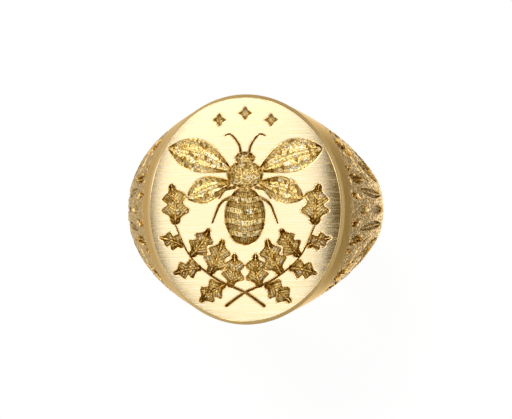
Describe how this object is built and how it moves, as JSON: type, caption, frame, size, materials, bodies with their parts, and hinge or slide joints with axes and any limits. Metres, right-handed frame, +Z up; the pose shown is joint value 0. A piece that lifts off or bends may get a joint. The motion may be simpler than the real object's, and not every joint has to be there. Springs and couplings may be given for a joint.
{
  "type": "signet ring",
  "caption": "Gold signet ring with an oval, crowned seal face engraved in sunk relief, foliage-carved shoulders and a tapering half-round shank.",
  "frame": {"origin": "centre of the finger hole: on its axis, at the middle of the ring's width", "axes": "+Y along the finger; +Z up through the middle of the seal face; +X across the finger, to the wearer's right when the seal is read upright"},
  "size_m": [0.0216, 0.0188, 0.0216],
  "materials": {
    "brushed_gold": "18 ct yellow gold, finely brushed across the seal face",
    "satin_gold": "18 ct yellow gold, satin",
    "carved_gold": "18 ct yellow gold, hand carved and left bright in the cuts",
    "solder": "hard gold solder, a shade paler than the gold"
  },
  "bodies": {
    "root": {"table_plate": "brushed_gold", "table_seam": "solder", "head_block": "satin_gold", "right_head_seam": "solder", "left_head_seam": "solder", "right_shoulder": "carved_gold", "left_shoulder": "carved_gold", "right_shank_seam": "solder", "left_shank_seam": "solder", "half_shank": "satin_gold"}
  },
  "joints": []
}
